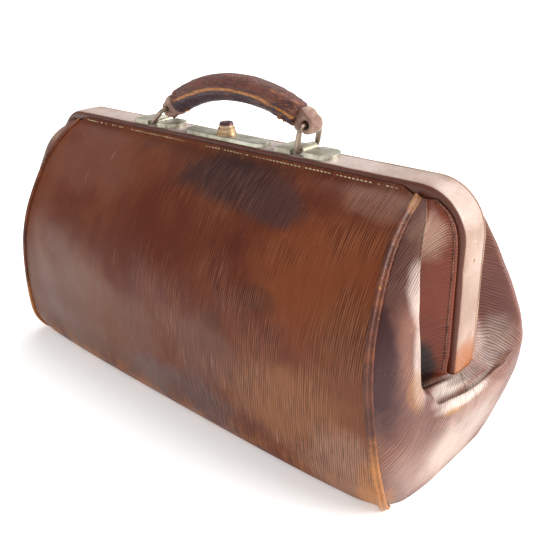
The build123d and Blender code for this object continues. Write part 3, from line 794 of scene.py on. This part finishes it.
BACK_OF_FOLD = {
    True: [
        (217.5, 38, 0), (221.5, 40, 15), (225.5, 42, 33), (228, 43, 50), (228.9, 43, 61),
        (228.7, 42.5, 69), (228, 42, 75.5), (226.8, 41.5, 81.5), (224.2, 41, 86.2),
        (219.5, 41.5, 87.2), (214.5, 42.5, 87.8), (210.5, 44.5, 93), (208, 45.5, 107),
        (206.6, 46, 127), (206, 45.5, 148), (205.7, 43.5, 167), (205.4, 38, 186),
        (205.5, 29.5, 198.5), (197, 16.1, 208.4)],
    False: [
        (218, 38, 0), (222.5, 40, 15), (228.8, 42, 33), (234, 43, 50), (237.6, 43, 62),
        (239.4, 43, 70), (240, 43, 77.5), (239, 43, 84), (235.8, 43.5, 85.2), (233, 44, 89),
        (230, 45, 94), (226.5, 46, 100), (223.5, 46.5, 109), (218, 46.5, 127), (212, 46, 148),
        (207.5, 44, 166), (204.5, 38.5, 185), (204, 29.5, 197.5), (197, 16.1, 208.4)]}
VALLEY_RUN = {
    True: [
        (218.5, 25, 0), (222, 26, 15), (226.5, 27.5, 33), (230.2, 28.5, 50), (232, 28.5, 61.5),
        (231.6, 28.5, 69.5), (228.2, 28.5, 75), (223.4, 29, 71.2), (219.6, 31, 76.5),
        (215.5, 33.5, 82.5), (206, 35.5, 75), (198, 37.5, 88), (196, 38.5, 105), (196, 39, 126),
        (197, 38.5, 148), (199, 36.5, 167), (201.5, 33, 185), (203.5, 26, 198),
        (199, 15.8, 208.4)],
    False: [
        (218.5, 25, 0), (222.5, 26, 15), (229, 28, 33), (234, 29, 50), (237.4, 29, 62),
        (238.5, 29, 70.5), (236.4, 29, 77.8), (232.4, 29.5, 76.4), (229.8, 31, 81.5),
        (226, 33, 87), (221, 35.5, 90), (216.5, 37.5, 97), (211.5, 38.5, 108), (206.5, 39, 127),
        (203.5, 38.5, 148), (201.5, 37, 166), (201, 33.5, 185), (203, 25, 198),
        (199, 15.8, 208.4)]}
EDGE_RUN = [
    (218.5, 0, 0), (222.3, 0, 15), (228.2, 0, 33), (232.8, 0, 49), (235.6, 0, 60),
    (235.6, 0, 67.5), (232.4, 0, 72.4), (228.0, 0, 68.2), (225.8, 0, 74), (223.8, 0, 79.5),
    (221.9, 0.4, 85), (220.4, 15.3, 88.2), (221, 15.3, 105), (221, 15.3, 125), (221, 15.3, 147),
    (221, 15.3, 168), (219.6, 15.3, 189), (213.5, 15.3, 201.5), (203, 15.3, 209)]


def seam_point(z):
    # where the seam runs at one height, as (out, depth, height)
    for (y0, z0), (y1, z1) in zip(OUTLINE, OUTLINE[1:]):
        if z <= z1:
            foot = 1 - smooth(z / 9)
            y = lerp(y0, y1, (z - z0) / (z1 - z0)) - tuck(z) - 3.0
            return Vector((seam_x(z) + 0.8 - 3.0 * foot, y - 1.0 * foot, z))
    return Vector((seam_x(z), OUTLINE[-1][0], z))


def table(points, value):
    # straight-line reading of (key, value) points
    for (k0, v0), (k1, v1) in zip(points, points[1:]):
        if value <= k1:
            return lerp(v0, v1, clamp((value - k0) / max(k1 - k0, 1e-6)))
    return points[-1][1]


def rounded_row(corners, windows, shares, cols):
    # a row across the leather: straight runs between corners, each corner
    # rounded by averaging over its own window
    at = [0.0]
    for a, b in zip(corners, corners[1:]):
        at.append(at[-1] + (b - a).length)

    def place(d):
        for k in range(len(corners) - 1):
            if d <= at[k + 1] or k == len(corners) - 2:
                f = (d - at[k]) / max(at[k + 1] - at[k], 1e-6)
                return corners[k] + (corners[k + 1] - corners[k]) * f
        return corners[-1]

    last = len(shares) - 1
    row = []
    for j in range(cols):
        d = table(list(zip(shares, at[:last + 1])), j / (cols - 1))
        w = table(list(zip(at[:last + 1], windows)), d)
        total, p = 0.0, Vector((0, 0, 0))
        for k in range(-4, 5):
            part = 1 - abs(k) / 5
            p += place(d + w * k / 5) * part
            total += part
        row.append(p / total)
    return row


# how far across its row each corner of the leather falls, as a share of the columns
CORNER_SHARES = (0, 0.16, 0.34, 0.45, 0.56, 0.68, 1.0)


def gusset_half(side, front, rows=150, cols=72):
    depth_sign = -1 if front else 1
    tables = (FOLD_RUN[front], BACK_OF_FOLD[front], VALLEY_RUN[front], EDGE_RUN,
              VALLEY_RUN[not front])
    runs = [[seam_point(z) for z in SEAM_Z]] + [[Vector(p) for p in run] for run in tables]
    turn_from = 0.47 if front else 0.3
    grid, weights, turn, thin = [], [], [], []
    for i in range(rows):
        t = i / (rows - 1)
        s, c, w, v, e, o = [catmull(run, t) for run in runs]
        e.y = max(e.y, 0.0)
        upper = smooth((t - 0.36) / 0.14)
        m = s.lerp(c, lerp(0.42, 0.32, upper))
        m.x = lerp(s.x, c.x, lerp(0.7, 0.62, upper))
        n = s.lerp(c, 0.76)
        n.x = lerp(s.x, c.x, 0.95)
        apart = smooth((e.y - 0.5) / 8)
        beyond = Vector((o.x, -o.y, o.z)).lerp(e * 2 - v, apart)
        tight = lerp(12.0, 3.6 if front else 5.0, upper)
        windows = (0.0, 9.0, lerp(10.0, 7.0, upper), tight, lerp(10.0, 5.0, upper), 8.0,
                   lerp(12.0, 1.0, apart))
        line = rounded_row([s, m, n, c, w, v, e, beyond], windows, CORNER_SHARES, cols)
        w_seam = wall_weight(s.z)
        w_edge = smooth((e.z - 80) / 14) * smooth((t - 0.5) / 0.1)
        w_line, t_line, thin_line = [], [], []
        for j, p in enumerate(line):
            u = j / (cols - 1)
            fade = smooth(u * 7) * smooth((1 - u) * 6) * smooth(p.z / 22) * smooth((206 - p.z) / 30)
            near = hill(side * p.x, depth_sign * p.y, p.z, 44, 5.0) * 1.3
            far = hill(side * p.x, depth_sign * p.y, p.z, 17, 2.0) * 0.5
            p.x += (near + far) * fade
            line[j] = Vector((side * p.x, depth_sign * p.y, p.z))
            w_line.append(lerp(w_seam, w_edge, smooth(u)))
            t_line.append(smooth((u - turn_from) / 0.1) * smooth((t - 0.55) / 0.06))
            thin_line.append(lerp(1.0, 0.45, smooth((u - 0.3) / 0.12) * smooth((t - 0.2) / 0.1)))
        grid.append(line)
        weights.append(w_line)
        turn.append(t_line)
        thin.append(thin_line)
    return grid, weights, turn, thin


EDGES = {}
for side, side_name in ((1, "right"), (-1, "left")):
    for front in (True, False):
        grid, weights, turn, thin = gusset_half(side, front)
        EDGES[side, front] = [line[-3] for line in grid]
        half = "front" if front else "back"
        flip = side if front else -side
        mats = [GUSSET[front], LINING]
        obj, w = thick_sheet("gusset_%s_%s" % (side_name, half), grid, 1.9, mats, flip, weights,
                             turn, thin=thin, soft_rim=False)
        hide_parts(side_name + "_gusset")
        blend_with(obj)


# --- welts: a doubled piping along each seam ---
WELT_R, WELT_GAP = 1.55, 1.6


def double_round(r, gap):
    # the section of two cords that touch
    pts = []
    for shift, start in ((-gap, 45), (gap, -135)):
        for k in range(12):
            a = radians(start + 270 * k / 11)
            pts.append((shift + r * cos(a), r * sin(a)))
    return pts


def welt(side_x, side_y, name):
    run = even_run([Vector((0, y, z)) for y, z in OUTLINE], 130)
    path = []
    for k, p in enumerate(run):
        a, b = run[max(k - 1, 0)], run[min(k + 1, len(run) - 1)]
        d = (b - a).normalized()
        n = Vector((0, side_y * d.z, -d.y))
        x = Vector((side_x, 0, 0))
        wob = 0.35 * hill(side_x * 40, side_y * p.y, p.z, 26, 9.0)
        o = Vector((side_x * (seam_x(p.z) + 0.2 + wob), side_y * (p.y - tuck(p.z)), p.z)) - n * 0.5
        o.z = max(o.z, 1.4)
        path.append((o, (x - n).normalized(), (x + n).normalized()))
    section = double_round(WELT_R, WELT_GAP)
    obj = sweep(name, path, section, WELT)
    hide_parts(name[:-7])
    blend_with(obj)


for side_x, sx in ((1, "right"), (-1, "left")):
    for side_y, sy, jaw in ((-1, "front", "front_jaw"), (1, "back", "back_jaw")):
        welt(side_x, side_y, "welt_%s_%s_piping" % (sy, sx))


# --- leather covers on the two jaws ---
def frame_path(seed, across=70, corner=26, arm=46, lift=0.25):
    # points along the frame's outer face with the outward direction at each
    shift, level = ARM_X - CORNER, TOP - CORNER

    def bend(side, turn):
        n = Vector((cos(turn), 0, sin(turn)))
        return Vector((side * shift, 0, level)) + n * CORNER, n

    def upright(side, z):
        return Vector((side * ARM_X, 0, z)), Vector((side, 0, 0))

    pts = [upright(-1, lerp(ARM_END, level, k / arm)) for k in range(arm)]
    pts += [bend(-1, pi - pi / 2 * k / corner) for k in range(corner)]
    pts += [(Vector((lerp(-shift, shift, k / across), 0, TOP)), Vector((0, 0, 1)))
            for k in range(across)]
    pts += [bend(1, pi / 2 - pi / 2 * k / corner) for k in range(corner)]
    pts += [upright(1, lerp(level, ARM_END, k / arm)) for k in range(arm + 1)]
    path = []
    for o, n in pts:
        wave = lift * hill(o.x, seed * 10, o.z, 30, seed)
        path.append((o + n * wave, Vector((0, 1, 0)), -n))
    return path


FRONT_SECTION = [
    (-12.3, 11.0), (-13.0, 11.1), (-13.35, 9.5), (-13.5, 6.0), (-13.45, 3.4), (-13.1, 1.9),
    (-12.3, 0.9), (-11.2, 0.35), (-9.8, 0.05), (-6.0, -0.2), (0.0, -0.3), (6.0, -0.2),
    (10.2, 0.0), (11.2, 0.25), (11.6, 0.8), (11.6, 1.6), (-12.3, 1.6)]

BACK_SECTION = [
    (0.4, 1.9), (11.9, 1.9), (12.1, 0.9), (12.35, 0.25), (12.8, 0.05), (13.25, 0.3), (13.4, 1.0),
    (13.4, 6.0), (13.2, 11.0), (12.4, 11.0), (12.4, 3.1), (0.4, 3.1)]

# from here back, the foot of each front arm is cut away
CUT_Y = 8.2

for cover_name, section, mat, node, jaw, slot, seed in (
        ("front_band_leather", FRONT_SECTION, BAND,
         "front_frame_cover", "front_jaw", "frame_leather", 1.0),
        ("back_band_leather", BACK_SECTION, BACK_BAND,
         "back_frame_cover", "back_jaw", "back_frame_leather", 2.0)):
    obj = sweep(cover_name, frame_path(seed), section, mat)
    if jaw == "front_jaw":
        # the band's rear lower corners are cut back so the jaws pass each other
        for v in obj.data.vertices:
            x, y, z = v.co / MM
            if z < ARM_END + 3.8 and y > CUT_Y and abs(x) > ARM_X - CORNER:
                v.co.z = max(z, ARM_END + min(y - CUT_Y, 3.5) * 1.08) * MM
    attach(obj, jaw)
    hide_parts(node)


# --- stitches ---
def stitches(name, places, radius, mat, body):
    # places: (middle, direction, lift direction, length) of each stitch
    verts, faces = [], []
    for o, d, up, length in places:
        s = d.cross(up).normalized()
        base = len(verts)
        for along, size in ((-0.5, 0.35), (-0.38, 0.85), (0.0, 1.0), (0.38, 0.85), (0.5, 0.35)):
            drop = -radius * 0.9 * (abs(along) * 2) ** 3
            for k in range(7):
                a = 2 * pi * k / 7
                verts.append(o + d * along * length + up * (drop + radius * size * sin(a))
                             + s * radius * size * cos(a))
        faces += [tuple(base + i for i in face) for face in tube_faces(5, 7)]
    obj = new_object(name, verts, faces, mats=[mat])
    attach(obj, body)


def top_stitches(side, body, name):
    dice = random.Random(11 + side)
    places = []
    x = -173.0
    while x < 174:
        gone = dice.random() < (0.1 if x > -110 else 0.45)
        if side < 0 and -34 < x < -13:
            gone = True
        if not gone:
            tilt = 0.16 * side + dice.uniform(-0.06, 0.06)
            d = Vector((cos(tilt), 0, sin(tilt)))
            p = Vector((x, side * 15.85, 211.0 + 0.3 * hill(x, 0, 0, 40, 3.0)))
            places.append((p, d, Vector((0, side, 0.35)).normalized(), 2.5))
        x += 3.5
    stitches(name, places, 0.5, PALE_THREAD, body)


def arm_stitches(side, front, body, name):
    run = EDGES[side, front]
    pts = even_run([p for p in run if p.z > 91], 44)
    out = Vector((side * 0.75, -0.6 if front else 0.6, 0)).normalized()
    places = []
    for a, b in zip(pts, pts[1:]):
        mid, d = (a + b) * 0.5, (b - a).normalized()
        places.append((mid + out * 0.25, d, out, 2.3))
    stitches(name, places, 0.62, ARM_THREAD, body)


ARM_THREAD = make_thread("arm_thread", "7a5540", "3d261c")
top_stitches(-1, "front_jaw", "front_top_stitches")
top_stitches(1, "back_jaw", "back_top_stitches")
for side, sx in ((1, "right"), (-1, "left")):
    arm_stitches(side, True, "front_jaw", "front_%s_arm_stitches" % sx)
    arm_stitches(side, False, "back_jaw", "back_%s_arm_stitches" % sx)


# --- handle ---
HARD_Y, PIVOT_H, REACH, SPAN, RISE = -0.5, 219.5, 20.0, 153.2, 21.5
HANDLE_R, HANDLE_END = 10.9, 27.6
# where each ring hinges along the bag, and how many degrees it leans
LEFT_RING, RIGHT_RING = (-81.0, 50.0), (84.0, 12.0)


def eye(ring_x, lean):
    # the far end of a ring, which the handle's loop goes round
    a = radians(lean)
    return Vector((ring_x + REACH * sin(a), HARD_Y, PIVOT_H + REACH * cos(a)))


LEFT_EYE, RIGHT_EYE = eye(*LEFT_RING), eye(*RIGHT_RING)
ALONG = (RIGHT_EYE - LEFT_EYE).normalized()
RISING = Vector((-ALONG.z, 0, ALONG.x))
ARCH = ((SPAN / 2) ** 2 + RISE ** 2) / (2 * RISE)


def arch(angle):
    # a point on the handle's curved axis, and the outward direction there
    a = radians(angle)
    o = LEFT_EYE + ALONG * (SPAN / 2 + ARCH * sin(a)) + RISING * (RISE - ARCH * (1 - cos(a)))
    return o, RISING * cos(a) + ALONG * sin(a)


def handle_tube():
    verts, uvs, ring_at = [], [], []
    n, steps = 56, 130
    for k in range(steps + 1):
        angle = lerp(-HANDLE_END, HANDLE_END, k / steps)
        o, out = arch(angle)
        end = abs(angle) / HANDLE_END
        r = HANDLE_R - 0.9 * end ** 2
        rough = smooth((end - 0.45) / 0.5)
        tip = smooth((1 - end) / 0.045)
        for j in range(n):
            f = 2 * pi * j / n
            deg = degrees(f)
            # the cover's edge overlaps along one line and leaves a step beside it
            seam = exp(-((deg - 112) / 7) ** 2)
            step = smooth((deg - 112) / 8) * smooth((236 - deg) / 20)
            d = out * cos(f) + Vector((0, -1, 0)) * sin(f)
            p = o + d * r
            torn = abs(hill(p.x * 0.5, p.y * 1.6, p.z * 1.6, 6.5, 6.0)) - 0.25
            size = r + 0.35 * seam - 0.45 * step + 0.25 * hill(p.x, p.y, p.z, 12, 2.0)
            size += rough * (1.5 * torn + 0.5 * hill(p.x, p.y, p.z, 3.2, 8.0))
            size *= 0.8 + 0.2 * sqrt(tip)
            verts.append(o + d * size)
            uvs.append((j * 1.1, k * 0.98))
            ring_at.append(deg / 360)
    obj = new_object("handle_leather_cover", verts, tube_faces(steps + 1, n), uvs, [HANDLE])
    set_turn(obj, ring_at)
    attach(obj, "handle")
    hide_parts("handle_cover")


def handle_loop(side, bore, name, node):
    middle = LEFT_EYE if side < 0 else RIGHT_EYE
    to = arch(side * 26.0)[0] - middle
    reach = to.length
    to.normalize()
    over = Vector((-to.z, 0, to.x))
    verts = []
    n, half = 60, 7.0
    for k in range(n):
        a = 2 * pi * k / n
        c = cos(a)
        size = 7.2 + 0.25 * hill(10 * cos(a), 10 * sin(a), side * 9, 8, 1.0)
        if c > 0:
            flat = min(reach / max(c, 0.05), 9.0 / max(abs(sin(a)), 0.05))
            size = lerp(size, min(flat, 13.0), smooth(c * 1.6))
        d = to * c + over * sin(a)
        front = [(bore, 0.8 - half), (bore + 0.6, 0.1 - half), (size - 2.2, -half),
                 (size - 0.7, 0.7 - half), (size - 0.05, 2.2 - half)]
        back = [(r, -y) for r, y in reversed(front)]
        section = [*front, (size + 0.1, 0), *back, (bore, 0)]
        for r, y in section:
            squeeze = 1 - 0.24 * smooth((r * c - 4.0) / 7.0)
            verts.append(middle + d * r + Vector((0, y * squeeze, 0)))
    obj = new_object(name, verts, tube_faces(n, len(section), True), mats=[LOOP])
    soft = obj.modifiers.new("soft", "SUBSURF")
    soft.levels = soft.render_levels = 1
    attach(obj, "handle")
    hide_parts(node)


def torn_flap(name, start, toward, up, length, width, curl, seed):
    # a ragged tongue of worn hide lifting off the handle's end
    grid = []
    rows, cols = 16, 10
    across = toward.cross(up).normalized()
    for i in range(rows):
        t = i / (rows - 1)
        line = []
        for j in range(cols):
            s = j / (cols - 1) - 0.5
            ragged = 1 + 0.35 * hill(s * 20, t * 4, seed, 4, seed)
            wide = width * (1 - 0.55 * t ** 1.5) * ragged
            bend = curl * t * t + 0.5 * hill(s * 12, t * 12, seed, 5, 2 * seed)
            line.append(start + toward * (length * t * ragged) + up * bend + across * (s * wide)
                        - up * (abs(s) ** 2 * width * 0.35))
        grid.append(line)
    obj = thick_sheet(name, grid, 0.9, [FRAYED])[0]
    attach(obj, "handle")


def ring_of_wire(name, node, ring_x, lean):
    slope = radians(lean)
    up, across = Vector((sin(slope), 0, cos(slope))), Vector((0, 1, 0))
    origin = Vector((ring_x, HARD_Y, PIVOT_H))
    # a square wire eye, half as wide as this, with this radius at its corners
    half, bend = 11.7, 3.2
    turns = [(half - bend, bend, -90), (half - bend, REACH - bend, 0),
             (bend - half, REACH - bend, 90), (bend - half, bend, 180)]
    pts = []
    for k, (cx, cy, start) in enumerate(turns):
        for j in range(9):
            a = radians(start + 90 * j / 8)
            pts.append(Vector((cx + bend * cos(a), cy + bend * sin(a), 0)))
        nx, ny, first = turns[(k + 1) % 4]
        b = radians(first)
        after = Vector((nx + bend * cos(b), ny + bend * sin(b), 0))
        here = pts[-1]
        pts += [here.lerp(after, j / 8) for j in range(1, 8)]
    verts, n, m = [], len(pts), 16
    for k, p in enumerate(pts):
        d = (pts[(k + 1) % n] - pts[k - 1]).normalized()
        side = Vector((d.y, -d.x, 0))
        # the two legs are thicker than the straight ends
        leg = smooth((p.y - 3.0) / 3.0) * smooth((REACH - 3.4 - p.y) / 3.0)
        r = 1.74 + 0.42 * leg + 0.05 * hill(p.x, p.y, lean, 3.0, 1.0)
        for j in range(m):
            a = 2 * pi * j / m
            q = p + side * (r * cos(a))
            verts.append(origin + across * q.x + up * q.y + across.cross(up) * (r * sin(a)))
    obj = new_object(name, verts, tube_faces(n, m, True), mats=[RING])
    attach(obj, node)
    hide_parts(node)


ring_of_wire("left_ring_wire", "left_ring", *LEFT_RING)
ring_of_wire("right_ring_wire", "right_ring", *RIGHT_RING)
handle_tube()
handle_loop(-1, 1.84, "left_loop_leather", "handle_loop_left")
handle_loop(1, 3.3, "right_loop_leather", "handle_loop_right")


def flap_at(name, angle, roll, heading, length, width, curl, seed):
    # angle places the flap along the handle, roll places it round the grip
    o, out = arch(angle)
    f = radians(roll)
    d = out * cos(f) + Vector((0, -1, 0)) * sin(f)
    tangent = out.cross(Vector((0, 1, 0))).normalized()
    if tangent.x * heading < 0:
        tangent = -tangent
    torn_flap(name, o + d * 9.3, (tangent + d * 0.12).normalized(), d, length, width, curl, seed)


flap_at("flap_right_under", 23.5, 160, -1, 6.0, 5.0, 1.6, 1.3)
flap_at("flap_right_side", 19.5, 96, 1, 8.0, 4.0, 0.6, 2.1)
flap_at("flap_right_low", 21.5, 130, 1, 7.0, 4.0, 0.6, 5.2)
flap_at("flap_left_under", -25.5, 170, 1, 6.0, 6.0, 1.2, 4.4)
flap_at("flap_left_side", -22.5, 85, -1, 7.0, 4.5, 0.6, 7.3)


# --- the spring under the button; the real one flattens as the button goes down, this coil keeps its shape ---
COIL_TURNS, COIL_STEPS, COIL_R, COIL_WIRE, COIL_RISE, COIL_FOOT = 2, 24, 4.5, 0.3, 2.4, 0.1
cad_spring = NODES["button_spring"]
coil_corners = [cad_spring.matrix_world @ Vector(p) for p in cad_spring.bound_box]
coil_low = min(p.z for p in coil_corners) / MM
coil_x = sum(p.x for p in coil_corners) / 8 / MM
coil_y = sum(p.y for p in coil_corners) / 8 / MM
coil_path = []
for k in range(COIL_TURNS * COIL_STEPS + 1):
    a = 2 * pi * k / COIL_STEPS
    out = Vector((cos(a), sin(a), 0))
    rise = COIL_WIRE + COIL_FOOT + COIL_RISE * k / (COIL_TURNS * COIL_STEPS)
    o = Vector((coil_x, coil_y, coil_low + rise)) + out * COIL_R
    coil_path.append((o, out, Vector((0, 0, 1))))
coil_section = [(COIL_WIRE * cos(pi * k / 4), COIL_WIRE * sin(pi * k / 4)) for k in range(8)]
coil = sweep("spring_coil", coil_path, coil_section, WIRE)
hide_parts("button_spring")
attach(coil, "front_jaw")
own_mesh(coil)


# --- floor, light and camera ---
# the camera: its turn, height and roll in degrees, and where it looks, in metres
VIEW_TURN, VIEW_HEIGHT, VIEW_ROLL, VIEW_LENS = 42.96, 24.4, -1.63, 47.81
VIEW_AT, VIEW_DISTANCE = (0.04808, 0, 0.10708), 0.60862
FLOOR_HALF, FLOOR_GLOW, SKY_GLOW = 14.0, 0.36, 0.55
WHITE = (1.0, 1.0, 1.0, 1.0)


def build_stage():
    mesh = bpy.data.meshes.new("floor")
    s = FLOOR_HALF
    mesh.from_pydata([(-s, -s, 0), (s, -s, 0), (s, s, 0), (-s, s, 0)], [], [(0, 1, 2, 3)])
    floor = bpy.data.objects.new("floor", mesh)
    bpy.context.collection.objects.link(floor)
    m = Mat("floor_paint", rough=0.7, Specular_IOR_Level=0.1)
    m.bsdf.inputs["Emission Color"].default_value = WHITE
    m.bsdf.inputs["Emission Strength"].default_value = FLOOR_GLOW
    mesh.materials.append(m.out(m.mix(m.noise(m.obj, 3, 2), rgb("f6f6f5"), rgb("fafafa"))))
    world = bpy.data.worlds.new("studio")
    world.use_nodes = True
    sky = world.node_tree.nodes["Background"].inputs
    sky["Color"].default_value = WHITE
    sky["Strength"].default_value = SKY_GLOW
    bpy.context.scene.world = world

    def sun(name, toward, spread, power, tint):
        light = bpy.data.lights.new(name, "SUN")
        light.angle = radians(spread)
        light.energy = power
        light.color = tint
        obj = bpy.data.objects.new(name, light)
        obj.rotation_euler = Vector(toward).to_track_quat("Z", "Y").to_euler()
        bpy.context.collection.objects.link(obj)

    sun("key", (0.88, 0.4, 0.42), 42, 3.7, (1.0, 0.99, 0.975))
    sun("top", (-0.15, 0.55, 1.0), 60, 1.6, (0.98, 0.99, 1.0))


def build_camera():
    az, el, roll = radians(VIEW_TURN), radians(VIEW_HEIGHT), radians(VIEW_ROLL)
    back = Vector((sin(az) * cos(el), -cos(az) * cos(el), sin(el)))
    right = (-back).cross(Vector((0, 0, 1))).normalized()
    up = right.cross(-back)
    r = right * cos(roll) + up * sin(roll)
    u = up * cos(roll) - right * sin(roll)
    place = Vector(VIEW_AT) + back * VIEW_DISTANCE
    cam = bpy.data.cameras.new("camera")
    cam.sensor_width = 36.0
    cam.lens = VIEW_LENS
    cam.clip_start = 0.01
    obj = bpy.data.objects.new("camera", cam)
    obj.matrix_world = Matrix((
        (r.x, u.x, back.x, place.x), (r.y, u.y, back.y, place.y),
        (r.z, u.z, back.z, place.z), (0, 0, 0, 1)))
    bpy.context.collection.objects.link(obj)
    bpy.context.scene.camera = obj


build_stage()
build_camera()
bpy.context.scene.view_settings.view_transform = "Standard"
bpy.context.scene.view_settings.exposure = 0.0
